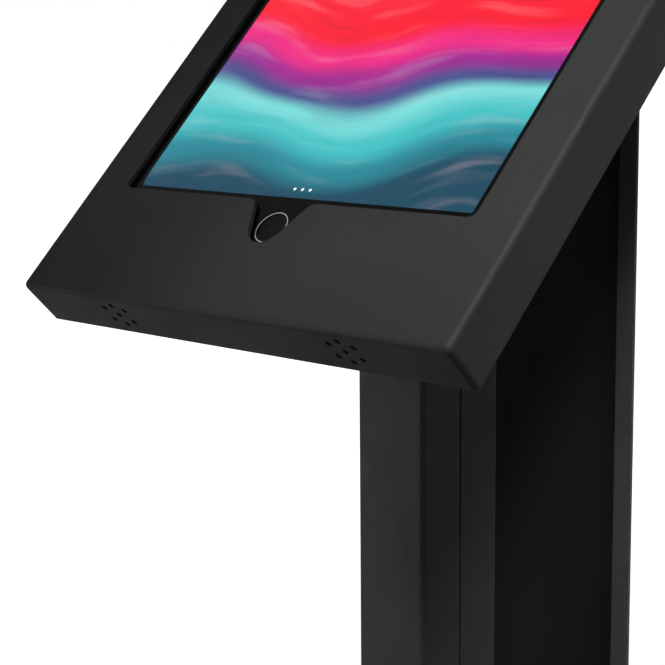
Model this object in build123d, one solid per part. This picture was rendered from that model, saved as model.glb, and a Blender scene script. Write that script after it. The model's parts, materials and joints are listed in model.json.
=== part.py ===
"""Tablet security kiosk stand: a locking steel enclosure at 45 degrees on a slim column and a floor plate.

Millimetres. Row frame: X to the right seen from the front, Y to the back, Z up, origin on the floor
under the middle of the base plate. The head is drawn in its own frame, whose origin is the middle of
the lower edge of its face: x to the right, y up the slope, z square out of the face.
"""
from build123d import *
import math
import os

# Overall
head_tilt = 45.0
face_edge_height = 915.0
column_front_to_edge = 80.0
column_shift = 20.0
overrun = 1.0
level_tolerance = 0.01

# Head enclosure
head_side_room = 10.25
head_end_room = 25.0
head_depth = 18.5
cover_sheet = 1.5
cover_edge_radius = 2.0
tray_sheet = 2.0
tray_clearance = 0.5
tray_lip_height = 7.5
tray_corner_radius = 3.0

# Screen window with its thumb notch
window_side_margin = 3.5
window_end_margin = 1.4
window_corner_radius = 3.0
notch_radius = 7.5
notch_shoulder_half = 12.5
notch_fillet = 4.0

# Speaker holes in the lower flange
speaker_hole_radius = 1.1
speaker_spacing = 4.9
speaker_from_tablet_edge = 33.75
speaker_side_row_share = 0.6

# Tablet
display_width = 147.8
display_length = 197.1
tablet_side_border = 10.85
tablet_end_border = 21.45
tablet_thickness = 7.5
tablet_corner_radius = 10.0
tablet_back_radius = 3.5
tablet_gap = 0.3
glass_thickness = 0.7
panel_margin = 1.0
panel_thickness = 1.5
home_to_display = 10.7
home_button_radius = 5.4
home_ring_outer = 6.05
home_ring_depth = 1.2
home_clearance = 0.05
home_recess = 0.2
home_button_thickness = 1.6
home_dish_depth = 0.15
home_travel = 0.4
home_pocket_depth = 3.4
home_switch_radius = 2.6
home_switch_clearance = 0.2
key_width = 2.4
key_proud = 0.4
key_seat = 0.8
key_clearance = 0.08
key_pocket_depth = 1.5
sleep_key_length = 10.0
sleep_key_from_side = 39.75
volume_key_length = 9.0
volume_key_pitch = 13.0
volume_key_from_top = 38.0
port_width = 8.4
port_height = 2.8
port_depth = 7.0

# What holds the tablet in the tray
bracket_leg = 28.0
bracket_wall = 2.5
bracket_clearance = 0.3
bracket_below_face = 4.0
bracket_floor = 2.0
bracket_floor_size = 17.0
bracket_screw_inset = 8.0
bracket_screw_radius = 1.5
bracket_head_radius = 2.8
bracket_head_height = 1.7
pad_width = 30.0
pad_length = 44.0
pad_x_share = 0.3
pad_y_share = 0.28

# Cam lock in the tray, with the catch on the cover
lock_x = 28.0
lock_y = 14.0
lock_barrel_radius = 6.0
lock_flange_radius = 8.0
lock_flange_thickness = 1.5
lock_bore_radius = 4.5
lock_running_gap = 0.05
lock_barrel_top_gap = 0.4
lock_nut_across = 16.0
lock_nut_thickness = 3.0
plug_proud = 0.6
key_slot_width = 1.2
key_slot_length = 6.0
key_slot_depth = 4.0
cam_thickness = 2.0
cam_width = 8.0
cam_reach = 9.5
cam_square = 4.5
cam_screw_radius = 3.4
cam_screw_height = 1.6
cam_screw_shank_radius = 1.2
cam_screw_shank_length = 5.0
catch_width = 16.0
catch_thickness = 1.5
catch_reach = 5.7
catch_rise = 7.4
catch_above_lip = 0.6
catch_to_cam = 0.3
catch_bend_radius = 1.0

# Hinge along the upper edge
hinge_from_head_side = 19.0
hinge_knuckles = 9
hinge_knuckle_gap = 0.4
hinge_barrel_radius = 2.2
hinge_pin_radius = 1.0
hinge_running_gap = 0.05
hinge_pin_head_radius = 1.7
hinge_pin_head_length = 0.8
hinge_leaf_thickness = 1.2
hinge_tray_leaf_width = 14.0
hinge_cover_leaf_height = 12.0
hinge_side_gap = 0.3
hinge_leaf_to_tray = 0.5

# Head plate and its bolts
head_plate_width = 64.0
head_plate_thickness = 5.0
head_plate_margin = 6.0
head_plate_to_hinge = 1.3
head_plate_corner = 6.0
head_bolt_radius = 2.5
head_bolt_x = 23.5
head_bolt_inset = 26.0
head_bolt_head_radius = 4.6
head_bolt_head_height = 2.6
head_bolt_dome_radius = 1.2
head_nut_across = 8.0
head_nut_thickness = 4.0
head_bolt_tail = 1.2

# Cable grommet in the tray
grommet_bore_radius = 4.5
grommet_waist_radius = 8.0
grommet_rim_radius = 10.0
grommet_rim_thickness = 1.4
grommet_edge = 0.5
grommet_hole_clearance = 1.0

# Column
column_width = 30.0
column_wall = 1.5
column_bend = 1.8
column_crown = 0.8
front_channel_depth = 20.0
back_channel_depth = 20.0
seam_gap = 0.8
seam_strip_width = 14.0
duct_width = 15.0
duct_cover_wall = 1.2
duct_cover_clearance = 0.1
duct_cover_gap = 0.4
duct_cover_leg = 9.0
duct_cover_edge = 0.4
outlet_height = 42.0

# Foot and base
foot_margin = 10.0
foot_thickness = 5.0
foot_corner = 6.0
base_width = 350.0
base_length = 400.0
base_thickness = 8.0
base_corner = 25.0
base_edge = 1.5
rubber_radius = 16.0
rubber_thickness = 3.0
rubber_edge = 0.8
rubber_inset = 34.0
anchor_radius = 5.5
anchor_inset_x = 40.0
anchor_inset_y = 84.0
base_screw_radius = 4.0
base_screw_head_radius = 8.0
base_screw_head_height = 4.4
base_screw_x = 16.0
base_screw_inset = 6.5
base_screw_clearance = 0.5
base_screw_socket = 5.0
base_screw_socket_depth = 2.5

# Levels in the head's frame, from the face down to the underside of the head plate
cover_inside = -cover_sheet
glass_top = cover_inside - tablet_gap
glass_bottom = glass_top - glass_thickness
tablet_back = glass_top - tablet_thickness
tray_bottom = -head_depth
tray_inside = tray_bottom + tray_sheet
plate_bottom = tray_bottom - head_plate_thickness

# Sizes that follow from the display's
tablet_width = display_width + 2 * tablet_side_border
tablet_length = display_length + 2 * tablet_end_border
head_width = tablet_width + 2 * head_side_room
head_length = tablet_length + 2 * head_end_room
hinge_length = head_width - 2 * hinge_from_head_side
speaker_group_offset = tablet_width / 2 - speaker_from_tablet_edge
sleep_key_x = tablet_width / 2 - sleep_key_from_side

# Places that follow from the sizes
tablet_y = head_length / 2
display_bottom = tablet_y - display_length / 2
home_y = display_bottom - home_to_display
tray_half = head_width / 2 - cover_sheet - tray_clearance
tray_front = cover_sheet + tray_clearance
pivot_y = head_length - cover_sheet - hinge_side_gap - hinge_barrel_radius
pivot_z = tray_bottom - hinge_side_gap - hinge_barrel_radius
tray_back = head_length - cover_sheet - hinge_leaf_thickness - hinge_leaf_to_tray
slope_sin = math.sin(math.radians(head_tilt))
slope_cos = math.cos(math.radians(head_tilt))
leaf_start = pivot_y - hinge_barrel_radius - hinge_side_gap - hinge_tray_leaf_width
plate_end = leaf_start - head_plate_to_hinge
edge_to_column_back = (plate_end - head_plate_margin) * slope_cos - plate_bottom * slope_sin
column_depth = edge_to_column_back - column_front_to_edge
column_front = column_shift - column_depth / 2
column_back = column_front + column_depth
duct_front = column_front + front_channel_depth + back_channel_depth
duct_depth = column_back - duct_front
base_top = rubber_thickness + base_thickness
foot_top = base_top + foot_thickness
edge_y = column_front - column_front_to_edge
head_frame = Location((0, edge_y, face_edge_height), (head_tilt, 0, 0))


def up_slope(row_y, level):
    """Distance up the slope at which a plane of the head at this level meets the row's depth row_y."""
    return (row_y - edge_y + level * slope_sin) / slope_cos


plate_start = up_slope(column_front, plate_bottom) - head_plate_margin
grommet_y = up_slope(duct_front + duct_depth / 2, tray_bottom)
head_bolt_places = [(sx * head_bolt_x, y)
                    for sx in (-1, 1)
                    for y in (plate_start + head_bolt_inset, plate_end - head_bolt_inset)]


def slab(x0, x1, y0, y1, z0, z1):
    """A box between two values on each axis."""
    centre = Pos((x0 + x1) / 2, (y0 + y1) / 2, (z0 + z1) / 2)
    return centre * Box(x1 - x0, y1 - y0, z1 - z0)


def rod(x, y, z0, z1, radius):
    """A cylinder along z between two levels."""
    return Pos(x, y, (z0 + z1) / 2) * Cylinder(radius, z1 - z0)


def raised(sketch, z0, z1):
    """A flat outline drawn at height zero, carried from z0 up to z1."""
    return Pos(0, 0, z0) * extrude(sketch, z1 - z0)


def hexagon(across, z0, z1, x, y):
    """A hexagonal prism measured across its flats."""
    outline = RegularPolygon(across / 2, 6, major_radius=False)
    return Pos(x, y, 0) * raised(outline, z0, z1)


def as_one(pieces):
    """Joins a list of solids, apart or touching, into one shape."""
    joined = pieces[0]
    for piece in pieces[1:]:
        joined = joined + piece
    return joined


def edges_at(part, z):
    """The edges of a part that lie wholly at one level."""
    return [e for e in part.edges()
            if abs(e.bounding_box().min.Z - z) < level_tolerance
            and abs(e.bounding_box().max.Z - z) < level_tolerance]


def window_outline():
    """The screen window with its flared thumb notch round the home button."""
    width = display_width + 2 * window_side_margin
    length = display_length + 2 * window_end_margin
    low_edge = tablet_y - length / 2
    window = Pos(0, tablet_y) * RectangleRounded(width, length, window_corner_radius)
    rise = low_edge - home_y
    reach = math.hypot(notch_shoulder_half, rise)
    turn = math.atan2(rise, notch_shoulder_half) - math.acos(notch_radius / reach)
    side_x = notch_radius * math.cos(turn)
    side_y = home_y + notch_radius * math.sin(turn)
    flare = Polygon((notch_shoulder_half, low_edge), (-notch_shoulder_half, low_edge),
                    (-side_x, side_y), (side_x, side_y), align=None)
    outline = window + flare + Pos(0, home_y) * Circle(notch_radius)
    shoulders = [v for v in outline.vertices()
                 if abs(v.Y - low_edge) < notch_radius / 2
                 and abs(abs(v.X) - notch_shoulder_half) < notch_radius / 2]
    return fillet(shoulders, notch_fillet)


def speaker_holes():
    """Two groups of seven holes through the lower flange, under the tablet's speakers."""
    middle = -head_depth / 2
    side = speaker_side_row_share * speaker_spacing
    across = [(0, -speaker_spacing), (0, 0), (0, speaker_spacing)]
    across += [(sx * speaker_spacing, sz * side) for sx in (-1, 1) for sz in (-1, 1)]
    drill = Rot(90, 0, 0) * Cylinder(speaker_hole_radius, 2 * (cover_sheet + overrun))
    return [Pos(group * speaker_group_offset + dx, cover_sheet / 2, middle + dz) * drill
            for group in (-1, 1) for dx, dz in across]


def front_cover():
    """The folded front: a face with a window, and four flanges with rounded welded corners."""
    outer = slab(-head_width / 2, head_width / 2, 0, head_length, -head_depth, 0)
    rim = [e for e in outer.edges() if e.bounding_box().max.Z > -cover_edge_radius / 2
           or e.bounding_box().size.Z > head_depth / 2]
    outer = fillet(rim, cover_edge_radius)
    inner = slab(-head_width / 2 + cover_sheet, head_width / 2 - cover_sheet,
                 cover_sheet, head_length - cover_sheet, -head_depth - cover_edge_radius, cover_inside)
    rim = [e for e in inner.edges() if e.bounding_box().min.Z > cover_inside - cover_sheet
           or e.bounding_box().size.Z > head_depth / 2]
    inner = fillet(rim, cover_edge_radius - cover_sheet)
    opening = raised(window_outline(), cover_inside - overrun, overrun)
    return outer - inner - opening - speaker_holes()


def cover_catch():
    """The folded catch welded inside the lower flange: the cam turns in over its tab."""
    low = tray_bottom + tray_lip_height + catch_above_lip
    wall = cover_sheet
    upright, tab = wall + catch_thickness, low + catch_thickness
    profile = Polyline((wall, low), (wall + catch_reach, low), (wall + catch_reach, tab),
                       (upright, tab), (upright, low + catch_rise), (wall, low + catch_rise), close=True)
    section = make_face(Plane.YZ * profile)
    catch = Pos(lock_x - catch_width / 2, 0, 0) * extrude(section, catch_width, dir=(1, 0, 0))
    bend = [e for e in catch.edges() if e.bounding_box().size.X > catch_width / 2
            and abs(e.center().Y - wall) < overrun / 2 and abs(e.center().Z - low) < overrun / 2]
    return fillet(bend, catch_bend_radius)


def cam_level():
    """The underside of the cam, just above the catch's tab."""
    return tray_bottom + tray_lip_height + catch_above_lip + catch_thickness + catch_to_cam


def back_tray():
    """The folded back tray inside the cover, with its lock, bolt, screw and cable holes."""
    length = tray_back - tray_front
    middle = (tray_front + tray_back) / 2
    outline = Pos(0, middle) * RectangleRounded(2 * tray_half, length, tray_corner_radius)
    hollow = Pos(0, middle) * RectangleRounded(2 * (tray_half - tray_sheet), length - 2 * tray_sheet,
                                               tray_corner_radius - tray_sheet)
    tray = raised(outline, tray_bottom, tray_bottom + tray_lip_height)
    tray -= raised(hollow, tray_inside, tray_bottom + tray_lip_height + overrun)
    low, high = tray_bottom - overrun, tray_inside + overrun
    tray -= rod(lock_x, lock_y, low, high, lock_barrel_radius)
    tray -= rod(0, grommet_y, low, high, grommet_waist_radius)
    for x, y in head_bolt_places:
        tray -= rod(x, y, low, high, head_bolt_radius)
    for x, y in bracket_screw_places():
        tray -= rod(x, y, low, high, bracket_screw_radius)
    return tray


def bracket_screw_places():
    """One screw in each corner bracket, inside the tablet's outline."""
    reach_x = tablet_width / 2 - bracket_screw_inset
    reach_y = tablet_length / 2 - bracket_screw_inset
    return [(sx * reach_x, tablet_y + sy * reach_y) for sx in (-1, 1) for sy in (-1, 1)]


def tablet_outline(grow):
    """The tablet's rounded outline, grown all round."""
    return Pos(0, tablet_y) * RectangleRounded(tablet_width + 2 * grow, tablet_length + 2 * grow,
                                               tablet_corner_radius + grow)


def corner_squares(reach, size):
    """Four squares, each with its outer corner at the grown tablet corner."""
    x = tablet_width / 2 + reach - size / 2
    y = tablet_length / 2 + reach - size / 2
    squares = [Pos(sx * x, tablet_y + sy * y) * Rectangle(size, size) for sx in (-1, 1) for sy in (-1, 1)]
    return as_one(squares)


def tablet_brackets():
    """Four corner brackets: a wall round the tablet's corner and a floor screwed to the tray under it."""
    reach = bracket_clearance + bracket_wall
    ring = tablet_outline(reach) - tablet_outline(bracket_clearance)
    walls = raised(ring & corner_squares(reach, bracket_leg), tray_inside, -bracket_below_face)
    floor = tablet_outline(reach) & corner_squares(reach, bracket_floor_size)
    seat = tray_inside + bracket_floor
    brackets = walls + raised(floor, tray_inside, seat)
    for x, y in bracket_screw_places():
        brackets -= rod(x, y, tray_inside - overrun, seat + overrun, bracket_screw_radius)
    return brackets


def bracket_screws():
    """Pan head screws that hold the corner brackets down."""
    seat = tray_inside + bracket_floor
    screws = []
    for x, y in bracket_screw_places():
        head = rod(x, y, seat, seat + bracket_head_height, bracket_head_radius)
        head = fillet(edges_at(head, seat + bracket_head_height), bracket_head_height / 2)
        screws.append(head + rod(x, y, tray_bottom, seat, bracket_screw_radius))
    return as_one(screws)


def foam_pads():
    """Four foam pads that fill the space between the tablet and the tray."""
    pads = []
    for sx in (-1, 1):
        for sy in (-1, 1):
            x, y = sx * pad_x_share * tablet_width, tablet_y + sy * pad_y_share * tablet_length
            pad = slab(x - pad_width / 2, x + pad_width / 2, y - pad_length / 2, y + pad_length / 2,
                       tray_inside, tablet_back)
            pads.append(pad)
    return as_one(pads)


def volume_key_places():
    """The two volume keys, down the right edge from the top."""
    top = tablet_y + tablet_length / 2
    return [top - volume_key_from_top, top - volume_key_from_top - volume_key_pitch]


def key_level():
    """The middle of the side keys, through the tablet's straight edge."""
    return (glass_bottom + tablet_back + tablet_back_radius) / 2


def side_key(length, grow, depth_in, depth_out):
    """A pill that runs along x, carried along y from depth_in inside the edge to depth_out outside it."""
    pill = SlotOverall(length + 2 * grow, key_width + 2 * grow)
    return extrude(Plane.XZ * pill, depth_in) + extrude(Plane.XZ * pill, -depth_out)


def sleep_key_shape(grow, depth_in, depth_out):
    """The sleep key, or its pocket, on the upper edge of the tablet."""
    key = side_key(sleep_key_length, grow, depth_in, depth_out)
    return Pos(sleep_key_x, tablet_y + tablet_length / 2, key_level()) * key


def volume_key_shape(place, grow, depth_in, depth_out):
    """A volume key, or its pocket, on the right edge of the tablet."""
    key = Rot(0, 0, -90) * side_key(volume_key_length, grow, depth_in, depth_out)
    return Pos(tablet_width / 2, place, key_level()) * key


def tablet_housing():
    """The tablet's metal shell, with the pockets for its panel, button, keys and charging port."""
    body = raised(tablet_outline(0), tablet_back, glass_bottom)
    body = fillet(edges_at(body, tablet_back), tablet_back_radius)
    panel = Pos(0, tablet_y) * Rectangle(display_width + 2 * panel_margin, display_length + 2 * panel_margin)
    body -= raised(panel, glass_bottom - panel_thickness, glass_bottom + overrun)
    body -= rod(0, home_y, glass_top - home_pocket_depth, glass_bottom + overrun, home_ring_outer)
    body -= sleep_key_shape(key_clearance, key_pocket_depth, overrun)
    for place in volume_key_places():
        body -= volume_key_shape(place, key_clearance, key_pocket_depth, overrun)
    port = Plane.XZ * SlotOverall(port_width, port_height)
    body -= Pos(0, tablet_y - tablet_length / 2, key_level()) * extrude(port, -port_depth)
    return body


def tablet_glass():
    """The cover glass, with the hole for the home button."""
    glass = raised(tablet_outline(0), glass_bottom, glass_top)
    return glass - rod(0, home_y, glass_bottom - overrun, glass_top + overrun, home_ring_outer)


def display_panel():
    """The display under the glass."""
    panel = Pos(0, tablet_y) * Rectangle(display_width + 2 * panel_margin, display_length + 2 * panel_margin)
    return raised(panel, glass_bottom - panel_thickness, glass_bottom)


def home_ring():
    """The bright ring round the home button."""
    bottom = glass_top - home_ring_depth
    ring = rod(0, home_y, bottom, glass_top, home_ring_outer)
    return ring - rod(0, home_y, bottom - overrun, glass_top + overrun, home_button_radius + home_clearance)


def home_button():
    """The home button, with its shallow dish."""
    top = glass_top - home_recess
    button = rod(0, home_y, top - home_button_thickness, top, home_button_radius)
    sphere_radius = (home_button_radius ** 2 + home_dish_depth ** 2) / (2 * home_dish_depth)
    return button - Pos(0, home_y, top + sphere_radius - home_dish_depth) * Sphere(sphere_radius)


def home_switch():
    """The dome switch under the home button, on the floor of its pocket."""
    floor = glass_top - home_pocket_depth
    top = glass_top - home_recess - home_button_thickness - home_travel - home_switch_clearance
    dome = rod(0, home_y, floor, top, home_switch_radius)
    return fillet(edges_at(dome, top), (top - floor) / 2)


def lock_housing():
    """The lock's barrel with its outer flange, and the bore that the plug turns in."""
    top = cam_level() - lock_barrel_top_gap
    housing = rod(lock_x, lock_y, tray_bottom, top, lock_barrel_radius)
    housing += rod(lock_x, lock_y, tray_bottom - lock_flange_thickness, tray_bottom, lock_flange_radius)
    housing = fillet(edges_at(housing, tray_bottom - lock_flange_thickness), lock_flange_thickness / 2)
    low = tray_bottom - lock_flange_thickness - overrun
    return housing - rod(lock_x, lock_y, low, top + overrun, lock_bore_radius)


def lock_nut():
    """The nut that clamps the lock to the tray."""
    nut = hexagon(lock_nut_across, tray_inside, tray_inside + lock_nut_thickness, lock_x, lock_y)
    return nut - rod(lock_x, lock_y, tray_inside - overrun, tray_inside + lock_nut_thickness + overrun,
                     lock_barrel_radius)


def lock_plug():
    """The plug that the key turns, with its key slot and the square that drives the cam."""
    low = tray_bottom - lock_flange_thickness - plug_proud
    plug = rod(lock_x, lock_y, low, cam_level(), lock_bore_radius - lock_running_gap)
    square = cam_square / 2
    plug += slab(lock_x - square, lock_x + square, lock_y - square, lock_y + square,
                 cam_level() - overrun, cam_level() + cam_thickness)
    plug -= slab(lock_x - key_slot_width / 2, lock_x + key_slot_width / 2,
                 lock_y - key_slot_length / 2, lock_y + key_slot_length / 2,
                 low - overrun, low + key_slot_depth)
    top = cam_level() + cam_thickness
    return plug - rod(lock_x, lock_y, top - cam_screw_shank_length, top + overrun, cam_screw_shank_radius)


def lock_cam():
    """The cam, turned aside: a quarter turn takes its tip in over the catch."""
    low, high = cam_level(), cam_level() + cam_thickness
    tip_radius = cam_width / 2
    straight = cam_reach - tip_radius
    outline = Circle(tip_radius) + Pos(straight / 2, 0) * Rectangle(straight, cam_width)
    outline += Pos(straight, 0) * Circle(tip_radius)
    outline -= Rectangle(cam_square, cam_square)
    return Pos(lock_x, lock_y, 0) * raised(outline, low, high)


def cam_screw():
    """The screw that holds the cam on its square."""
    seat = cam_level() + cam_thickness
    head = rod(lock_x, lock_y, seat, seat + cam_screw_height, cam_screw_radius)
    head = fillet(edges_at(head, seat + cam_screw_height), cam_screw_height / 2)
    return head + rod(lock_x, lock_y, seat - cam_screw_shank_length, seat, cam_screw_shank_radius)


def knuckle_spans(first):
    """Start and end of every second knuckle along the hinge, from the given one."""
    pitch = hinge_length / hinge_knuckles
    return [(-hinge_length / 2 + i * pitch + hinge_knuckle_gap / 2,
             -hinge_length / 2 + (i + 1) * pitch - hinge_knuckle_gap / 2)
            for i in range(first, hinge_knuckles, 2)]


def hinge_rod(x0, x1, radius):
    """A cylinder on the hinge's axis."""
    return Pos((x0 + x1) / 2, pivot_y, pivot_z) * Rot(0, 90, 0) * Cylinder(radius, x1 - x0)


def hinge_leaf(first, strip, tongue, bore_radius):
    """A leaf: a strip, and at each of its own knuckles a tongue and a tube for the pin."""
    leaf = slab(-hinge_length / 2, hinge_length / 2, *strip)
    for x0, x1 in knuckle_spans(first):
        leaf += slab(x0, x1, *tongue) + hinge_rod(x0, x1, hinge_barrel_radius)
    return leaf - hinge_rod(-hinge_length / 2 - overrun, hinge_length / 2 + overrun, bore_radius)


def hinge_tray_leaf():
    """The fixed leaf, spot-welded under the tray's upper edge."""
    clear = leaf_start + hinge_tray_leaf_width
    low, high = tray_bottom - hinge_leaf_thickness, tray_bottom
    strip = (leaf_start, clear, low, high)
    tongue = (clear, pivot_y, low, high)
    return hinge_leaf(0, strip, tongue, hinge_pin_radius)


def hinge_cover_leaf():
    """The moving leaf, spot-welded inside the cover's upper flange."""
    clear = pivot_z + hinge_barrel_radius + hinge_side_gap
    near, far = head_length - cover_sheet - hinge_leaf_thickness, head_length - cover_sheet
    strip = (near, far, clear, clear + hinge_cover_leaf_height)
    tongue = (near, far, pivot_z, clear)
    return hinge_leaf(1, strip, tongue, hinge_pin_radius + hinge_running_gap)


def hinge_pin():
    """The hinge pin, with a formed head at each end."""
    half = hinge_length / 2
    pin = hinge_rod(-half, half, hinge_pin_radius)
    pin += hinge_rod(-half - hinge_pin_head_length, -half, hinge_pin_head_radius)
    return pin + hinge_rod(half, half + hinge_pin_head_length, hinge_pin_head_radius)


def cable_grommet():
    """The rubber grommet that lines the cable hole in the tray."""
    ring = rod(0, grommet_y, tray_bottom, tray_inside, grommet_waist_radius)
    ring += rod(0, grommet_y, tray_inside, tray_inside + grommet_rim_thickness, grommet_rim_radius)
    ring += rod(0, grommet_y, tray_bottom - grommet_rim_thickness, tray_bottom, grommet_rim_radius)
    top = tray_inside + grommet_rim_thickness
    bottom = tray_bottom - grommet_rim_thickness
    ring -= rod(0, grommet_y, bottom - overrun, top + overrun, grommet_bore_radius)
    return fillet(edges_at(ring, top) + edges_at(ring, bottom), grommet_edge)


def head_plate():
    """The sloping plate welded on the column, which carries the tray."""
    outline = RectangleRounded(head_plate_width, plate_end - plate_start, head_plate_corner)
    plate = raised(Pos(0, (plate_start + plate_end) / 2) * outline, plate_bottom, tray_bottom)
    low, high = plate_bottom - overrun, tray_bottom + overrun
    plate -= rod(0, grommet_y, low, high, grommet_rim_radius + grommet_hole_clearance)
    for x, y in head_bolt_places:
        plate -= rod(x, y, low, high, head_bolt_radius)
    return plate


def head_bolts():
    """Button head bolts from inside the tray through the head plate."""
    bolts = []
    for x, y in head_bolt_places:
        top = tray_inside + head_bolt_head_height
        blank = rod(x, y, tray_inside, top, head_bolt_head_radius)
        head = fillet(edges_at(blank, top), head_bolt_dome_radius)
        tail = plate_bottom - head_nut_thickness - head_bolt_tail
        bolts.append(head + rod(x, y, tail, tray_inside, head_bolt_radius))
    return as_one(bolts)


def head_nuts():
    """The nuts of the head bolts, under the head plate."""
    nuts = []
    for x, y in head_bolt_places:
        low = plate_bottom - head_nut_thickness
        nut = hexagon(head_nut_across, low, plate_bottom, x, y)
        nuts.append(nut - rod(x, y, low - overrun, plate_bottom + overrun, head_bolt_radius))
    return as_one(nuts)


def channel(width, depth, wall, bend):
    """A U section, drawn with the outside of its web on the x axis and its legs towards positive y."""
    outer = Pos(0, depth / 2) * Rectangle(width, depth)
    outer = fillet(outer.vertices().group_by(Axis.Y)[0], bend)
    inner = Pos(0, wall + depth / 2) * Rectangle(width - 2 * wall, depth)
    inner = fillet(inner.vertices().group_by(Axis.Y)[0], bend - wall)
    return outer - inner


def under_slope(part):
    """Cuts a column piece off at the underside of the head plate."""
    size = 2 * (head_length + face_edge_height)
    above = head_frame * slab(-size / 2, size / 2, -size / 2, size / 2, plate_bottom, plate_bottom + size)
    return part - above


def standing(sketch, low):
    """Carries a section up from the given height and cuts it off under the head."""
    return under_slope(raised(sketch, low, face_edge_height + head_length))


def arched(half, depth, radius, centre_y, bend):
    """A section from a slightly arched front, about the given centre, back to a flat edge."""
    corner_y = centre_y - math.sqrt(radius ** 2 - half ** 2)
    front = ThreePointArc((-half, corner_y), (0, centre_y - radius), (half, corner_y))
    sides = Polyline((half, corner_y), (half, depth), (-half, depth), (-half, corner_y))
    outline = make_face(front + sides)
    return fillet(outline.vertices().group_by(Axis.Y)[0], bend)


def front_channel():
    """The folded front channel of the column, with its slightly crowned face."""
    half, depth = column_width / 2, front_channel_depth - seam_gap / 2
    radius = (half ** 2 + column_crown ** 2) / (2 * column_crown)
    section = arched(half, depth, radius, radius, column_bend)
    section -= arched(half - column_wall, depth + overrun, radius - column_wall, radius,
                      column_bend - column_wall)
    return standing(Pos(0, column_front) * section, foot_top)


def back_channel():
    """The folded channel behind it, facing forward, with the seam between the two."""
    section = channel(column_width, back_channel_depth - seam_gap / 2, column_wall, column_bend)
    return standing(Pos(0, duct_front) * Rot(0, 0, 180) * section, foot_top)


def seam_strips():
    """Two strips inside the column that tie the channels together behind the seam."""
    middle = column_front + front_channel_depth
    inside = column_width / 2 - column_wall
    strips = [Pos(sx * (inside - column_wall / 2), middle) * Rectangle(column_wall, seam_strip_width)
              for sx in (-1, 1)]
    return standing(as_one(strips), foot_top)


def cable_duct():
    """The folded duct behind the channels: a deep and narrow U, open at the back."""
    length = duct_depth - column_wall - duct_cover_gap
    section = channel(duct_width, length, column_wall, column_bend)
    return standing(Pos(0, duct_front) * section, foot_top)


def duct_cover():
    """The wide strip that closes the duct with two legs pushed into it, short of the outlet at its foot."""
    plate = Pos(0, column_back - column_wall / 2) * Rectangle(column_width, column_wall)
    section = fillet(plate.vertices(), duct_cover_edge)
    inside = duct_width / 2 - column_wall - duct_cover_clearance
    for sx in (-1, 1):
        leg = Rectangle(duct_cover_wall, duct_cover_leg - duct_cover_edge)
        middle = column_back - (duct_cover_leg + duct_cover_edge) / 2
        section += Pos(sx * (inside - duct_cover_wall / 2), middle) * leg
    return standing(section, foot_top + outlet_height)


def foot_plate():
    """The plate that the column is welded to, tapped for the screws from below."""
    width = column_width + 2 * foot_margin
    length = column_depth + 2 * foot_margin
    outline = Pos(0, column_shift) * RectangleRounded(width, length, foot_corner)
    plate = raised(outline, base_top, foot_top)
    for x, y in base_screw_places():
        plate -= rod(x, y, base_top - overrun, foot_top + overrun, base_screw_radius)
    return plate


def base_screw_places():
    """Four screws near the corners of the foot plate."""
    reach = column_depth / 2 + foot_margin - base_screw_inset
    return [(sx * base_screw_x, column_shift + sy * reach) for sx in (-1, 1) for sy in (-1, 1)]


def screw_cone(x, y):
    """A countersunk head that lies flush with the underside of the base plate."""
    cone = Cone(base_screw_head_radius, base_screw_radius, base_screw_head_height)
    return Pos(x, y, rubber_thickness + base_screw_head_height / 2) * cone


def base_plate():
    """The floor plate, with its anchor holes and the countersunk holes for the column's screws."""
    outline = RectangleRounded(base_width, base_length, base_corner)
    plate = raised(outline, rubber_thickness, base_top)
    plate = fillet(edges_at(plate, base_top), base_edge)
    low, high = rubber_thickness - overrun, base_top + overrun
    for sx in (-1, 1):
        for sy in (-1, 1):
            x = sx * (base_width / 2 - anchor_inset_x)
            y = sy * (base_length / 2 - anchor_inset_y)
            plate -= rod(x, y, low, high, anchor_radius)
    for x, y in base_screw_places():
        plate -= rod(x, y, low, high, base_screw_radius + base_screw_clearance)
        plate -= screw_cone(x, y)
    return plate


def base_screws():
    """Countersunk socket screws from under the base plate into the foot plate."""
    screws = []
    for x, y in base_screw_places():
        shank = rod(x, y, rubber_thickness + base_screw_head_height, foot_top, base_screw_radius)
        socket_top = rubber_thickness + base_screw_socket_depth
        socket = hexagon(base_screw_socket, rubber_thickness - overrun, socket_top, x, y)
        screws.append(screw_cone(x, y) + shank - socket)
    return as_one(screws)


def rubber_feet():
    """Four rubber feet under the corners of the base plate."""
    feet = []
    for sx in (-1, 1):
        for sy in (-1, 1):
            x = sx * (base_width / 2 - rubber_inset)
            y = sy * (base_length / 2 - rubber_inset)
            foot = rod(x, y, 0, rubber_thickness, rubber_radius)
            feet.append(fillet(edges_at(foot, 0), rubber_edge))
    return as_one(feet)


in_head_frame = {
    "front_cover": front_cover,
    "cover_catch": cover_catch,
    "back_tray": back_tray,
    "tablet_brackets": tablet_brackets,
    "bracket_screws": bracket_screws,
    "foam_pads": foam_pads,
    "tablet_housing": tablet_housing,
    "tablet_glass": tablet_glass,
    "display_panel": display_panel,
    "home_ring": home_ring,
    "home_button": home_button,
    "home_switch": home_switch,
    "lock_housing": lock_housing,
    "lock_nut": lock_nut,
    "lock_plug": lock_plug,
    "lock_cam": lock_cam,
    "cam_screw": cam_screw,
    "hinge_tray_leaf": hinge_tray_leaf,
    "hinge_cover_leaf": hinge_cover_leaf,
    "hinge_pin": hinge_pin,
    "cable_grommet": cable_grommet,
    "head_plate": head_plate,
    "head_bolts": head_bolts,
    "head_nuts": head_nuts,
    "sleep_key": lambda: sleep_key_shape(0, key_seat, key_proud),
    "volume_up_key": lambda: volume_key_shape(volume_key_places()[0], 0, key_seat, key_proud),
    "volume_down_key": lambda: volume_key_shape(volume_key_places()[1], 0, key_seat, key_proud),
}

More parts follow.
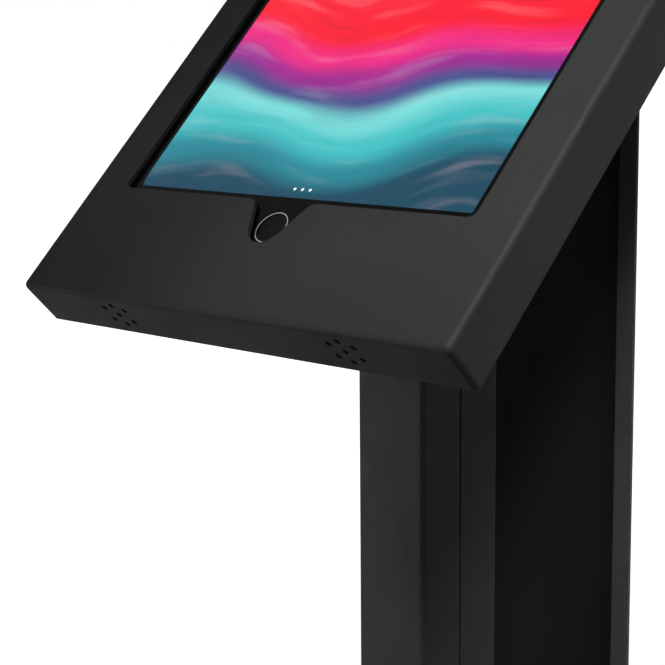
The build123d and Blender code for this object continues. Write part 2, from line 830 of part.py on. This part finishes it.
in_row_frame = {
    "front_channel": front_channel,
    "back_channel": back_channel,
    "seam_strips": seam_strips,
    "cable_duct": cable_duct,
    "duct_cover": duct_cover,
    "foot_plate": foot_plate,
    "base_plate": base_plate,
    "base_screws": base_screws,
    "rubber_feet": rubber_feet,
}

os.makedirs("parts", exist_ok=True)
for node, make in in_head_frame.items():
    export_step(head_frame * make(), "parts/" + node + ".step")
for node, make in in_row_frame.items():
    export_step(make(), "parts/" + node + ".step")
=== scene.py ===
"""Looks of the tablet security kiosk stand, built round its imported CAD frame. Metres."""
import json
import math

import bmesh
import bpy
import numpy as np
from mathutils import Matrix, Vector


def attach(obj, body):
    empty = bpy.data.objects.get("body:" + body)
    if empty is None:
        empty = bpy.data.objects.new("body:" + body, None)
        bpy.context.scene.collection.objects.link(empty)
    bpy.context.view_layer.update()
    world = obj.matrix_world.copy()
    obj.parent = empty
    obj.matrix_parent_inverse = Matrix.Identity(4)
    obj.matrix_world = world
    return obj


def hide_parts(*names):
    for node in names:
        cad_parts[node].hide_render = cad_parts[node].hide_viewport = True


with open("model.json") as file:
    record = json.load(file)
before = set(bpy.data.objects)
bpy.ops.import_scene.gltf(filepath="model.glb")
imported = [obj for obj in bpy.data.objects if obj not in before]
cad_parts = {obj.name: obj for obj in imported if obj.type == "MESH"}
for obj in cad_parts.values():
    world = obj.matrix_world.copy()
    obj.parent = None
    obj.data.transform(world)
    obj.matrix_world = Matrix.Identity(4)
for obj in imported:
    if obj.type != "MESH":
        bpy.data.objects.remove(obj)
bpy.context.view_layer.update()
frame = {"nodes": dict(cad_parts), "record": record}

# Camera: place, bearing, elevation, roll and lens of the photograph
CAMERA_PLACE = (0.4060, -0.4829, 1.0009)
CAMERA_BEARING = math.radians(44.355)
CAMERA_ELEVATION = math.radians(9.62)
CAMERA_ROLL = math.radians(-0.476)
CAMERA_LENS = 98.26
SENSOR_WIDTH = 36.0

# The head's own frame: middle of the lower edge of its face, and its tilt
HEAD_ORIGIN = (0.0, -0.12101, 0.915)
HEAD_TILT = math.radians(45.0)
HEAD_COS, HEAD_SIN = math.cos(HEAD_TILT), math.sin(HEAD_TILT)

# Column outline and the two levels that its welds lie on
COLUMN_HALF = 0.015
COLUMN_FRONT = -0.04101
COLUMN_CROWN = 0.0008
DUCT_HALF = 0.0075
DUCT_FRONT = -0.00101
DUCT_BACK = 0.07911
FOOT_TOP = 0.016
PLATE_LEVEL = -0.0235


# Node trees

class Recipe:
    """A material's node tree, written one node at a time."""

    def __init__(self, name):
        self.material = bpy.data.materials.new(name)
        self.material.use_nodes = True
        self.nodes = self.material.node_tree.nodes
        self.links = self.material.node_tree.links
        self.shader = self.nodes["Principled BSDF"]
        self.place = self.nodes.new("ShaderNodeTexCoord").outputs["Object"]

    def node(self, kind, inputs=None, **settings):
        """Adds a node. Inputs are values or sockets, by name or number."""
        made = self.nodes.new(kind)
        for key, value in settings.items():
            setattr(made, key, value)
        for key, value in (inputs or {}).items():
            if isinstance(value, bpy.types.NodeSocket):
                self.links.new(value, made.inputs[key])
            else:
                made.inputs[key].default_value = value
        return made

    def noise(self, scale, detail=3.0, roughness=0.5, place=None, distortion=0.0):
        """Cloudy noise from 0 to 1; the scale counts its clouds along a metre."""
        made = self.node("ShaderNodeTexNoise", {
            "Vector": place or self.place, "Scale": scale, "Detail": detail,
            "Roughness": roughness, "Distortion": distortion})
        return made.outputs["Fac"]

    def spread(self, value, low, high, start=0.3, end=0.7):
        """Carries a value from start..end to low..high, smoothly."""
        made = self.node("ShaderNodeMapRange", {
            "Value": value, "From Min": start, "From Max": end, "To Min": low, "To Max": high},
            interpolation_type="SMOOTHSTEP")
        return made.outputs["Result"]

    def math(self, operation, a, b=0.0, c=0.0):
        """One sum of up to three values or sockets."""
        return self.node("ShaderNodeMath", {0: a, 1: b, 2: c}, operation=operation).outputs[0]

    def blend(self, share, low, high):
        """Mixes two colours, given as values or sockets."""
        made = self.node("ShaderNodeMix", {0: share, 6: low, 7: high}, data_type="RGBA")
        return made.outputs[2]

    def ramp(self, value, stops):
        """Colours by value, eased from each stop to the next."""
        made = self.node("ShaderNodeValToRGB", {"Fac": value})
        made.color_ramp.interpolation = "EASE"
        elements = made.color_ramp.elements
        for position, _ in stops[len(elements):]:
            elements.new(position)
        for element, (position, colour) in zip(elements, stops):
            element.position = position
            element.color = (*colour, 1.0)
        return made.outputs["Color"]

    def bump(self, height, distance, strength, normal=None):
        """A relief of the given height map, over a relief that is already there, if any."""
        inputs = {"Height": height, "Distance": distance, "Strength": strength}
        if normal is not None:
            inputs["Normal"] = normal
        return self.node("ShaderNodeBump", inputs).outputs["Normal"]

    def mapped(self, location=(0, 0, 0), rotation=(0, 0, 0), scale=(1, 1, 1)):
        """The piece's own coordinates, scaled, turned and shifted."""
        return self.node("ShaderNodeMapping", {
            "Vector": self.place, "Location": location, "Rotation": rotation,
            "Scale": scale}).outputs["Vector"]

    def set(self, **sockets):
        """Sets or links the shader's own sockets; underscores stand for spaces."""
        for key, value in sockets.items():
            socket = self.shader.inputs[key.replace("_", " ")]
            if isinstance(value, bpy.types.NodeSocket):
                self.links.new(value, socket)
            else:
                socket.default_value = value


def grey(value):
    """A very slightly cool grey."""
    return (value, value, value * 1.02, 1.0)


def on_head(recipe, centre=HEAD_ORIGIN):
    """Coordinates in the head's own frame, counted from a centre: across, up the slope, out of the face."""
    x, y, z = centre
    shift = (-x, -(y * HEAD_COS + z * HEAD_SIN), -(z * HEAD_COS - y * HEAD_SIN))
    return recipe.mapped(location=shift, rotation=(-HEAD_TILT, 0, 0))


def powder_coat(name, dark, light, rough, level):
    """Powder coat: orange peel in two sizes, with slow changes of tone and gloss."""
    peel = 0.00006
    m = Recipe(name)
    slow = m.noise(14.0, detail=4.0)
    fine = m.noise(900.0, roughness=0.6)
    coarse = m.noise(260.0, detail=2.0)
    tone = m.math("ADD", m.math("MULTIPLY", slow, 0.6), m.math("MULTIPLY", fine, 0.4))
    m.set(Base_Color=m.blend(m.spread(tone, 0.0, 1.0, start=0.35, end=0.65), grey(dark), grey(light)),
          Roughness=m.spread(m.noise(60.0), rough - 0.04, rough + 0.04),
          Specular_IOR_Level=level,
          Normal=m.bump(fine, peel, 0.5, normal=m.bump(coarse, peel, 0.4)))
    return m.material


def moulded_plastic(name, tone, rough, grain=700.0, level=0.5):
    """Moulded plastic: a spark-eroded grain and a slight change of gloss."""
    m = Recipe(name)
    cells = m.node("ShaderNodeTexVoronoi", {"Vector": m.place, "Scale": grain}).outputs["Distance"]
    m.set(Base_Color=m.blend(m.spread(m.noise(40.0), 0.0, 1.0), grey(tone * 0.8), grey(tone * 1.2)),
          Roughness=m.spread(m.noise(90.0), rough - 0.05, rough + 0.05),
          Specular_IOR_Level=level,
          Normal=m.bump(cells, 0.00004, 0.5))
    return m.material


def zinc_steel():
    """Bright zinc: crystal patches that change tone and gloss, with drawing lines."""
    m = Recipe("zinc_steel")
    patches = m.node("ShaderNodeTexVoronoi", {"Vector": m.place, "Scale": 220.0}).outputs["Color"]
    patch = m.node("ShaderNodeSeparateColor", {"Color": patches}).outputs[0]
    lines = m.noise(300.0, detail=2.0, place=m.mapped(scale=(0.15, 1.0, 1.0)))
    m.set(Base_Color=m.blend(patch, (0.46, 0.47, 0.48, 1), (0.66, 0.66, 0.65, 1)),
          Metallic=1.0,
          Roughness=m.spread(patch, 0.26, 0.42, start=0.0, end=1.0),
          Normal=m.bump(lines, 0.00003, 0.4))
    return m.material


def turned_metal(name, colour, rough, centre, bright_from=0.0):
    """Turned metal: fine rings round an axis. Nearer the axis than a radius it may be painted dark, a
    painted shade for the inner chamfer of a ring."""
    m = Recipe(name)
    place = on_head(m, centre)
    rings = m.node("ShaderNodeTexWave", {"Vector": place, "Scale": 900.0, "Distortion": 0.6,
                                         "Detail": 2.0}, wave_type="RINGS", rings_direction="Z")
    flat = m.node("ShaderNodeVectorMath", {0: place, 1: (1.0, 1.0, 0.0)}, operation="MULTIPLY")
    radius = m.node("ShaderNodeVectorMath", {0: flat.outputs["Vector"]}, operation="LENGTH")
    bright = m.math("GREATER_THAN", radius.outputs["Value"], bright_from)
    m.set(Base_Color=m.blend(bright, (0.01, 0.01, 0.01, 1), colour), Metallic=1.0,
          Roughness=m.spread(m.noise(500.0), rough - 0.05, rough + 0.08),
          Normal=m.bump(rings.outputs["Fac"], 0.00001, 0.35))
    return m.material


def blasted_aluminium():
    """Anodised aluminium: a fine blasted grain."""
    m = Recipe("tablet_metal")
    grain = m.noise(2400.0, detail=2.0, roughness=0.7)
    m.set(Base_Color=m.blend(m.spread(m.noise(30.0), 0.0, 1.0), (0.16, 0.162, 0.17, 1),
                             (0.19, 0.192, 0.2, 1)),
          Metallic=1.0, Roughness=m.spread(grain, 0.34, 0.46),
          Normal=m.bump(grain, 0.00002, 0.4))
    return m.material


def open_foam():
    """Open foam: cells in two sizes that pit the surface, painted darker in the pits: a painted shade in
    its hollows.
    """
    m = Recipe("foam")
    cells = m.node("ShaderNodeTexVoronoi", {"Vector": m.place, "Scale": 900.0}).outputs["Distance"]
    pores = m.node("ShaderNodeTexVoronoi", {"Vector": m.place, "Scale": 380.0}).outputs["Distance"]
    depth = m.math("MULTIPLY", cells, pores)
    m.set(Base_Color=m.blend(m.spread(depth, 0.0, 1.0, start=0.0, end=0.4), grey(0.015), grey(0.06)),
          Roughness=m.spread(m.noise(200.0), 0.85, 0.98),
          Sheen_Weight=0.25, Sheen_Roughness=0.6,
          Normal=m.bump(depth, 0.0003, 0.8))
    return m.material


def rubber():
    """Black rubber: a dull surface with faint mould marks and dust in slow patches."""
    m = Recipe("rubber")
    marks = m.noise(420.0, detail=4.0, roughness=0.65)
    m.set(Base_Color=m.blend(m.spread(m.noise(25.0), 0.0, 1.0), grey(0.012), grey(0.026)),
          Roughness=m.spread(marks, 0.68, 0.86),
          Specular_IOR_Level=0.35,
          Normal=m.bump(marks, 0.00006, 0.5))
    return m.material


# Display: its size and place in the head's frame, and the black print that laps its lower edge
DISPLAY_HALF = 0.0739
DISPLAY_LOW, DISPLAY_LENGTH = 0.04645, 0.1971
DISPLAY_MIDDLE = DISPLAY_LOW + DISPLAY_LENGTH / 2
LOW_PRINT = 0.0015

# Its picture: sines across, a slow cloud, colours by height, and streaks along the layers
SWELL_TURN, SWELL_START, SWELL_HEIGHT = 4.6, 2.2, 0.06
RIPPLE_TURN, RIPPLE_LEAN, RIPPLE_HEIGHT = 9.0, 7.0, 0.02
CLOUD_SCALE, CLOUD_HEIGHT = 9.0, 0.34
STREAKS_ACROSS, STREAKS_UP = 1.8, 13.0
LAYER_COLOURS = [
    (0.00, (0.01, 0.07, 0.12)), (0.07, (0.02, 0.25, 0.32)), (0.15, (0.06, 0.56, 0.58)),
    (0.21, (0.20, 0.74, 0.72)), (0.255, (0.07, 0.08, 0.28)), (0.30, (0.36, 0.02, 0.30)),
    (0.35, (0.90, 0.02, 0.24)), (0.42, (1.00, 0.008, 0.03)), (0.54, (1.00, 0.012, 0.04)),
    (0.62, (0.98, 0.07, 0.20)), (0.72, (1.00, 0.42, 0.55)), (0.84, (0.95, 0.02, 0.12)),
    (1.00, (0.55, 0.01, 0.20))]

# Three dots near its lower edge
DOT_PITCH, DOT_RADIUS = 0.0034, 0.0006
DOT_MIDDLE, DOT_HEIGHT = 0.002, 0.0055


def display_picture():
    """A generic picture of soft layered waves, lit from within, with three dots near its lower edge.
    The layer at a point is its height plus two sines across and a slow noise; streaks follow it."""
    m = Recipe("display")
    head = m.node("ShaderNodeSeparateXYZ", {"Vector": on_head(m)}).outputs
    across = m.math("DIVIDE", head["X"], 2 * DISPLAY_HALF)
    up = m.math("DIVIDE", m.math("SUBTRACT", head["Y"], DISPLAY_LOW), DISPLAY_LENGTH)
    swell = m.math("SINE", m.math("MULTIPLY_ADD", across, SWELL_TURN, SWELL_START))
    lean = m.math("MULTIPLY", up, RIPPLE_LEAN)
    ripple = m.math("SINE", m.math("MULTIPLY_ADD", across, RIPPLE_TURN, lean))
    cloud = m.math("SUBTRACT", m.noise(CLOUD_SCALE, detail=1.0), 0.5)
    layer = up
    for wave, height in ((swell, SWELL_HEIGHT), (ripple, RIPPLE_HEIGHT), (cloud, CLOUD_HEIGHT)):
        layer = m.math("MULTIPLY_ADD", wave, height, layer)
    along = m.node("ShaderNodeCombineXYZ", {"X": m.math("MULTIPLY", across, STREAKS_ACROSS),
                                            "Y": m.math("MULTIPLY", layer, STREAKS_UP)}).outputs[0]
    streaks = m.noise(2.0, detail=2.0, roughness=0.45, place=along, distortion=0.2)
    shaded = m.ramp(layer, LAYER_COLOURS)
    shaded = m.blend(m.spread(streaks, 0.0, 0.12, start=0.5, end=0.8), shaded, (1.0, 0.80, 0.90, 1))
    shaded = m.blend(m.spread(streaks, 0.18, 0.0, start=0.2, end=0.5), shaded, (0.03, 0.0, 0.06, 1))
    aside = m.math("SUBTRACT", head["X"], DOT_MIDDLE)
    nearest = m.math("SNAP", m.math("ADD", aside, DOT_PITCH / 2), DOT_PITCH)
    from_dot = m.node("ShaderNodeCombineXYZ", {
        "X": m.math("SUBTRACT", aside, nearest),
        "Y": m.math("SUBTRACT", head["Y"], DISPLAY_LOW + DOT_HEIGHT)}).outputs[0]
    far = m.node("ShaderNodeVectorMath", {0: from_dot}, operation="LENGTH").outputs["Value"]
    three = m.math("LESS_THAN", m.math("ABSOLUTE", aside), 1.5 * DOT_PITCH)
    dots = m.math("MULTIPLY", m.math("LESS_THAN", far, DOT_RADIUS), three)
    m.set(Base_Color=(0.002, 0.002, 0.002, 1), Roughness=0.3, Specular_IOR_Level=0.0,
          Emission_Color=m.blend(dots, shaded, (1.0, 1.0, 1.0, 1)), Emission_Strength=1.0)
    return m.material


def cover_glass():
    """Cover glass: clear over the display, printed black round it, with faint smears of touch."""
    m = Recipe("tablet_glass")
    head = m.node("ShaderNodeSeparateXYZ", {"Vector": on_head(m)}).outputs
    from_middle = m.math("ABSOLUTE", m.math("SUBTRACT", head["Y"], DISPLAY_MIDDLE))
    clear = m.math("LESS_THAN", m.math("ABSOLUTE", head["X"]), DISPLAY_HALF)
    for inside in (m.math("LESS_THAN", from_middle, DISPLAY_LENGTH / 2),
                   m.math("GREATER_THAN", head["Y"], DISPLAY_LOW + LOW_PRINT)):
        clear = m.math("MULTIPLY", clear, inside)
    smears = m.noise(55.0, detail=4.0, roughness=0.6)
    m.set(Base_Color=m.blend(clear, (0.002, 0.002, 0.0022, 1), (1.0, 1.0, 1.0, 1)),
          Roughness=m.spread(smears, 0.02, 0.07), Transmission_Weight=clear, IOR=1.12)
    return m.material


# Surfaces

def as_object(name, points, faces, material, smooth=True):
    """Puts vertices and faces, whole arrays, into a mesh object."""
    mesh = bpy.data.meshes.new(name)
    mesh.from_pydata(points.reshape(-1, 3).tolist(), [], faces.tolist())
    mesh.update()
    if smooth:
        mesh.polygons.foreach_set("use_smooth", np.ones(len(mesh.polygons), bool))
    mesh.materials.append(material)
    made = bpy.data.objects.new(name, mesh)
    bpy.context.scene.collection.objects.link(made)
    return made


def grid_faces(rows, columns, wrap=False, start=0):
    """Quads of a grid of points; with wrap the last column joins the first."""
    r, c = np.meshgrid(np.arange(rows - 1), np.arange(columns if wrap else columns - 1), indexing="ij")
    a = r * columns + c
    b = r * columns + (c + 1) % columns
    quads = np.stack([a, b, b + columns, a + columns], axis=-1)
    return quads.reshape(-1, 4) + start


def merge(made, distance=0.00001):
    """Closes poles and seams, and points the faces outwards."""
    work = bmesh.new()
    work.from_mesh(made.data)
    bmesh.ops.remove_doubles(work, verts=work.verts, dist=distance)
    bmesh.ops.recalc_face_normals(work, faces=work.faces)
    work.to_mesh(made.data)
    work.free()
    return made


def powered(value, power):
    """A value's size to a power, with its own sign."""
    return np.sign(value) * np.abs(value) ** power


def from_head(points):
    """Carries points from the head's own frame into the stand's: across, up the slope, out of the face."""
    across, along, out = np.moveaxis(points, -1, 0)
    return np.stack([across, HEAD_ORIGIN[1] + along * HEAD_COS - out * HEAD_SIN,
                     HEAD_ORIGIN[2] + along * HEAD_SIN + out * HEAD_COS], axis=-1)


def column_path(step):
    """Points and outward normals round the column, from the back of the duct round the front to its other
    side. Straight runs between the outline's corners, each divided evenly; the front is a shallow arc."""
    arc = np.linspace(-COLUMN_HALF, COLUMN_HALF, 13)
    crown = COLUMN_FRONT + COLUMN_CROWN * (arc / COLUMN_HALF) ** 2
    corners = np.array([(-DUCT_HALF, DUCT_BACK), (-DUCT_HALF, DUCT_FRONT), (-COLUMN_HALF, DUCT_FRONT),
                        *zip(arc, crown),
                        (COLUMN_HALF, DUCT_FRONT), (DUCT_HALF, DUCT_FRONT), (DUCT_HALF, DUCT_BACK)])
    points, normals = [], []
    for start, end in zip(corners[:-1], corners[1:]):
        run = end - start
        length = np.hypot(*run)
        count = max(3, int(length / step))
        share = np.linspace(0, 1, count)[:, None]
        points.append(start + share * run)
        normals.append(np.repeat([[-run[1] / length, run[0] / length]], count, axis=0))
    return np.vstack(points), np.vstack(normals)


# Welds: leg, step along the run, and how deep the root is sunk. The size ripples and wanders along the run
# by shares of the leg, and the section bulges between its ends.
WELD_LEG, WELD_STEP, WELD_SUNK = 0.0022, 0.0004, 0.0004
RIPPLE_PITCH, RIPPLE_SHARE = 0.0016, 0.10
WANDER_TURN, WANDER_SHARE = 90.0, 0.05
BULGE_ENDS, BULGE_RISE = 0.72, 0.12


def weld_bead(name, material, foot):
    """A fillet weld round the column, on the foot plate or under the sloping head plate.
    Its section is a bulged quarter round between the wall and the plate, and its size swells by a sine
    along the run."""
    flat, normal = column_path(WELD_STEP)
    run = np.concatenate([[0], np.cumsum(np.hypot(*np.diff(flat, axis=0).T))])
    ripple = np.abs(np.sin(run * math.pi / RIPPLE_PITCH))
    size = WELD_LEG * (1 + RIPPLE_SHARE * ripple + WANDER_SHARE * np.sin(run * WANDER_TURN))
    zero = np.zeros(len(flat))
    if foot:
        base = np.column_stack([flat, zero + FOOT_TOP])
        out = np.column_stack([normal, zero])
        up = np.tile([0.0, 0.0, 1.0], (len(flat), 1))
    else:
        _, edge_y, edge_z = HEAD_ORIGIN
        rise = (PLATE_LEVEL + (flat[:, 1] - edge_y) * HEAD_SIN) / HEAD_COS + edge_z
        base = np.column_stack([flat, rise])
        out = np.column_stack([normal, normal[:, 1] * HEAD_SIN / HEAD_COS])
        out /= np.linalg.norm(out, axis=1)[:, None]
        up = np.tile([0.0, 0.0, -1.0], (len(flat), 1))
    turn = np.linspace(0, math.pi / 2, 7)
    bulge = 1 + BULGE_RISE / BULGE_ENDS * np.sin(2 * turn)
    section = size[:, None, None] * (out[:, None, :] * (np.cos(turn) * bulge)[None, :, None]
                                     + up[:, None, :] * (np.sin(turn) * bulge)[None, :, None])
    inner = base - (out + up) * WELD_SUNK
    grid = np.concatenate([base[:, None, :] + section, inner[:, None, :]], axis=1)
    return merge(as_object(name, grid, grid_faces(*grid.shape[:2], wrap=True), material))


# The lit panel's top lies a twentieth of a millimetre under the glass
PANEL_TOP, PANEL_THICKNESS = -0.00255, 0.0006
PANEL_CORNER = 0.06


def lit_panel(material):
    """The display's panel, a hair under the glass: a flat slab with slightly rounded corners. Its rows are
    the outline, a low power of cosine and sine, drawn in to the middle on the top and on the underside."""
    around = np.linspace(0, 2 * math.pi, 65)[:-1]
    outline = np.stack([DISPLAY_HALF * powered(np.cos(around), PANEL_CORNER),
                        DISPLAY_LENGTH / 2 * powered(np.sin(around), PANEL_CORNER)], axis=-1)
    shares = np.array([0.0, 0.5, 1.0, 1.0, 0.5, 0.0])
    levels = np.array([PANEL_TOP] * 3 + [PANEL_TOP - PANEL_THICKNESS] * 3)
    flat = shares[:, None, None] * outline[None] + (0.0, DISPLAY_MIDDLE)
    height = np.broadcast_to(levels[:, None, None], (*flat.shape[:2], 1))
    grid = from_head(np.concatenate([flat, height], axis=-1))
    faces = grid_faces(*flat.shape[:2], wrap=True)
    return merge(as_object("lit_panel", grid, faces, material, smooth=False))


# Foam pads: half size across and along, levels of both faces, and places in shares of the tablet's size
FOAM_HALF = (0.0149, 0.0219)
FOAM_LOW, FOAM_HIGH = -0.0165, -0.0093
TABLET_WIDTH, TABLET_LENGTH, TABLET_MIDDLE = 0.1695, 0.24, 0.145
FOAM_ACROSS_SHARE, FOAM_ALONG_SHARE = 0.3, 0.28
FOAM_EDGE, FOAM_CORNER, FOAM_SWELL = 0.22, 0.18, 0.02


def foam_blocks(material):
    """Four foam pads between tray and tablet: each a box whose edges are rounded off by low powers of two
    angles' sines and cosines, pressed flat at both faces and swelling a little at its sides."""
    around, upward = np.meshgrid(np.linspace(0, 2 * math.pi, 97)[:-1],
                                 np.linspace(-math.pi / 2, math.pi / 2, 33))
    swell = powered(np.cos(upward), FOAM_EDGE) * (1 + FOAM_SWELL * np.cos(upward) ** 2)
    block = np.stack([FOAM_HALF[0] * swell * powered(np.cos(around), FOAM_CORNER),
                      FOAM_HALF[1] * swell * powered(np.sin(around), FOAM_CORNER),
                      (FOAM_HIGH - FOAM_LOW) / 2 * powered(np.sin(upward), FOAM_EDGE)], axis=-1)
    points, faces = [], []
    for across in (-1, 1):
        for along in (-1, 1):
            centre = (across * FOAM_ACROSS_SHARE * TABLET_WIDTH,
                      TABLET_MIDDLE + along * FOAM_ALONG_SHARE * TABLET_LENGTH,
                      (FOAM_LOW + FOAM_HIGH) / 2)
            faces.append(grid_faces(*block.shape[:2], wrap=True, start=sum(len(p) for p in points)))
            points.append(from_head(block + centre).reshape(-1, 3))
    return merge(as_object("foam_blocks", np.vstack(points), np.vstack(faces), material))


# Materials on the CAD nodes

LOCK_CENTRE = from_head(np.array([0.028, 0.014, 0.0]))
RING_CENTRE = from_head(np.array([0.0, 0.03575, 0.0]))
# Inside this radius the ring is painted dark: a painted shade for its inner chamfer
RING_BRIGHT_FROM = 0.00575
FINISHES = {
    "powder_coat": powder_coat("powder_coat", 0.006, 0.008, 0.50, 0.025),
    # The duct's coat is darker than the powder coat: a painted shade for the recess behind the column's
    # front
    "duct_coat": powder_coat("duct_coat", 0.0022, 0.0032, 0.60, 0.006),
    "zinc_steel": zinc_steel(),
    "lock_metal": turned_metal("lock_metal", (0.62, 0.61, 0.58, 1), 0.22, LOCK_CENTRE),
    "bracket_plastic": moulded_plastic("bracket_plastic", 0.02, 0.48),
    "foam": open_foam(),
    "tablet_metal": blasted_aluminium(),
    "tablet_glass": cover_glass(),
    "display": display_picture(),
    "button_black": moulded_plastic("button_black", 0.002, 0.3, grain=3000.0, level=0.05),
    "ring_metal": turned_metal("ring_metal", (0.62, 0.63, 0.65, 1), 0.2, RING_CENTRE, RING_BRIGHT_FROM),
    "rubber": rubber(),
}
# The strip at the column's back is painted a shade lighter than the rest of its slot: painted light for the
# front light that falls on it
OWN_FINISHES = {"duct_cover": powder_coat("strip_painted_light_coat", 0.016, 0.020, 0.50, 0.05)}
coated = bpy.data.collections.new("coated_metal")
for entry in frame["record"]["subparts"]:
    node, slot = frame["nodes"][entry["node"]], entry["material_slot"]
    node.data.materials.clear()
    node.data.materials.append(OWN_FINISHES.get(entry["node"], FINISHES[slot]))
    if slot in ("powder_coat", "duct_coat"):
        coated.objects.link(node)


# New pieces

for name, foot in (("foot_weld", True), ("head_weld", False)):
    bead = weld_bead(name, FINISHES["powder_coat"], foot)
    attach(bead, "stand")
    coated.objects.link(bead)
panel = lit_panel(FINISHES["display"])
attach(panel, "stand")
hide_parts("display_panel")
foam = foam_blocks(FINISHES["foam"])
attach(foam, "stand")
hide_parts("foam_pads")


# Floor, light and camera

FLOOR_HALF = 60.0
FLOOR_NEAR, FLOOR_FAR = 0.5, 3.2
FLOOR_TONE, FLOOR_TONE_RISE = 0.70, 0.20
FLOOR_GLOW = 0.62
SKY_STRENGTH = 0.62
HORIZON_BAND = (0.04, 0.16)


def floor():
    """A flat pale floor. Its tone rises with the distance from the stand, so that near the stand it is
    darker: a painted shade round the stand. Far out it glows a little, so that it runs into the white
    horizon with no line."""
    m = Recipe("studio_floor")
    away = m.node("ShaderNodeVectorMath", {0: m.place}, operation="LENGTH").outputs["Value"]
    share = m.spread(away, 0.0, 1.0, start=FLOOR_NEAR, end=FLOOR_FAR)
    grain = m.spread(m.noise(2.0), 0.0, 0.02)
    tone = m.math("ADD", grain, m.math("MULTIPLY_ADD", share, FLOOR_TONE_RISE, FLOOR_TONE))
    m.set(Base_Color=m.node("ShaderNodeCombineColor", {0: tone, 1: tone, 2: tone}).outputs[0],
          Emission_Color=(1, 1, 1, 1), Emission_Strength=m.math("MULTIPLY", share, FLOOR_GLOW),
          Roughness=0.85, Specular_IOR_Level=0.1)
    corners = FLOOR_HALF * np.array([(-1, -1, 0), (1, -1, 0), (1, 1, 0), (-1, 1, 0)])
    as_object("studio_floor", corners, np.array([[0, 1, 2, 3]]), m.material, smooth=False)


def softbox(name, place, target, width, height, watts, spread):
    """A rectangular studio light that faces its target; the spread is its beam's angle."""
    data = bpy.data.lights.new(name, "AREA")
    data.shape, data.size, data.size_y, data.energy = "RECTANGLE", width, height, watts
    data.spread = math.radians(spread)
    made = bpy.data.objects.new(name, data)
    made.location = place
    made.rotation_mode = "QUATERNION"
    made.rotation_quaternion = (Vector(target) - Vector(place)).to_track_quat("-Z", "Y")
    bpy.context.scene.collection.objects.link(made)
    return made


floor()

# The left softbox is weaker on the front cover than on all else. The keys and back lights reach the dark
# coated metal alone, so that they draw no pools on the floor and no glare on glass or zinc.
cover_only, all_but_cover = (bpy.data.collections.new(name) for name in ("cover_only", "all_but_cover"))
for group, state in ((cover_only, "INCLUDE"), (all_but_cover, "EXCLUDE")):
    group.objects.link(frame["nodes"]["front_cover"])
    group.collection_objects[0].light_linking.link_state = state

# Each light's name, place, target, width, height, watts, beam's angle, and what it lights
for *light, lit in (
        ("front_right", (1.6, -2.4, 1.2), (0, 0, 0.85), 1.0, 1.4, 8, 180, None),
        ("front_left", (-1.9, -1.9, 0.75), (0, 0, 0.8), 0.9, 1.5, 82, 180, all_but_cover),
        ("cover_left", (-1.9, -1.9, 0.75), (0, 0, 0.8), 0.9, 1.5, 18, 180, cover_only),
        ("face_key", (0.12, -0.75, 1.75), (0.11, -0.06, 0.96), 0.15, 0.15, 0.62, 26, coated),
        ("side_key", (0.62, -0.42, 1.75), (0.14, -0.05, 0.95), 0.15, 0.15, 0.92, 24, coated),
        ("back_left", (-1.5, 2.3, 1.3), (0, 0, 0.7), 1.2, 1.6, 100, 180, coated),
        ("back_right", (2.0, 2.0, 1.0), (0, 0, 0.7), 1.2, 1.6, 7, 180, coated)):
    softbox(*light).light_linking.receiver_collection = lit

# A dim sky with a white band along the horizon, between two heights of the ray's direction
world = bpy.data.worlds.new("studio")
bpy.context.scene.world = world
world.use_nodes = True
sky = world.node_tree.nodes
rise = sky.new("ShaderNodeSeparateXYZ")
fade = sky.new("ShaderNodeMapRange")
for key, value in (("From Min", HORIZON_BAND[0]), ("From Max", HORIZON_BAND[1]),
                   ("To Min", 1.0), ("To Max", SKY_STRENGTH)):
    fade.inputs[key].default_value = value
for outlet, inlet in ((sky.new("ShaderNodeTexCoord").outputs["Generated"], rise.inputs["Vector"]),
                      (rise.outputs["Z"], fade.inputs["Value"]),
                      (fade.outputs["Result"], sky["Background"].inputs["Strength"])):
    world.node_tree.links.new(outlet, inlet)
sky["Background"].inputs["Color"].default_value = (1.0, 1.0, 1.0, 1)

lens = bpy.data.cameras.new("photo_camera")
lens.lens = CAMERA_LENS
lens.sensor_width = SENSOR_WIDTH
lens.clip_start, lens.clip_end = 0.05, 100.0
camera = bpy.data.objects.new("photo_camera", lens)
bpy.context.scene.collection.objects.link(camera)
back = np.array([math.sin(CAMERA_BEARING) * math.cos(CAMERA_ELEVATION),
                 -math.cos(CAMERA_BEARING) * math.cos(CAMERA_ELEVATION), math.sin(CAMERA_ELEVATION)])
level = np.array([math.cos(CAMERA_BEARING), math.sin(CAMERA_BEARING), 0.0])
over = np.cross(back, level)
right = level * math.cos(CAMERA_ROLL) + over * math.sin(CAMERA_ROLL)
up = over * math.cos(CAMERA_ROLL) - level * math.sin(CAMERA_ROLL)
turned = np.eye(4)
turned[:3, 0], turned[:3, 1], turned[:3, 2], turned[:3, 3] = right, up, back, CAMERA_PLACE
camera.matrix_world = Matrix(turned.tolist())
bpy.context.scene.camera = camera
bpy.context.scene.view_settings.view_transform = "Standard"
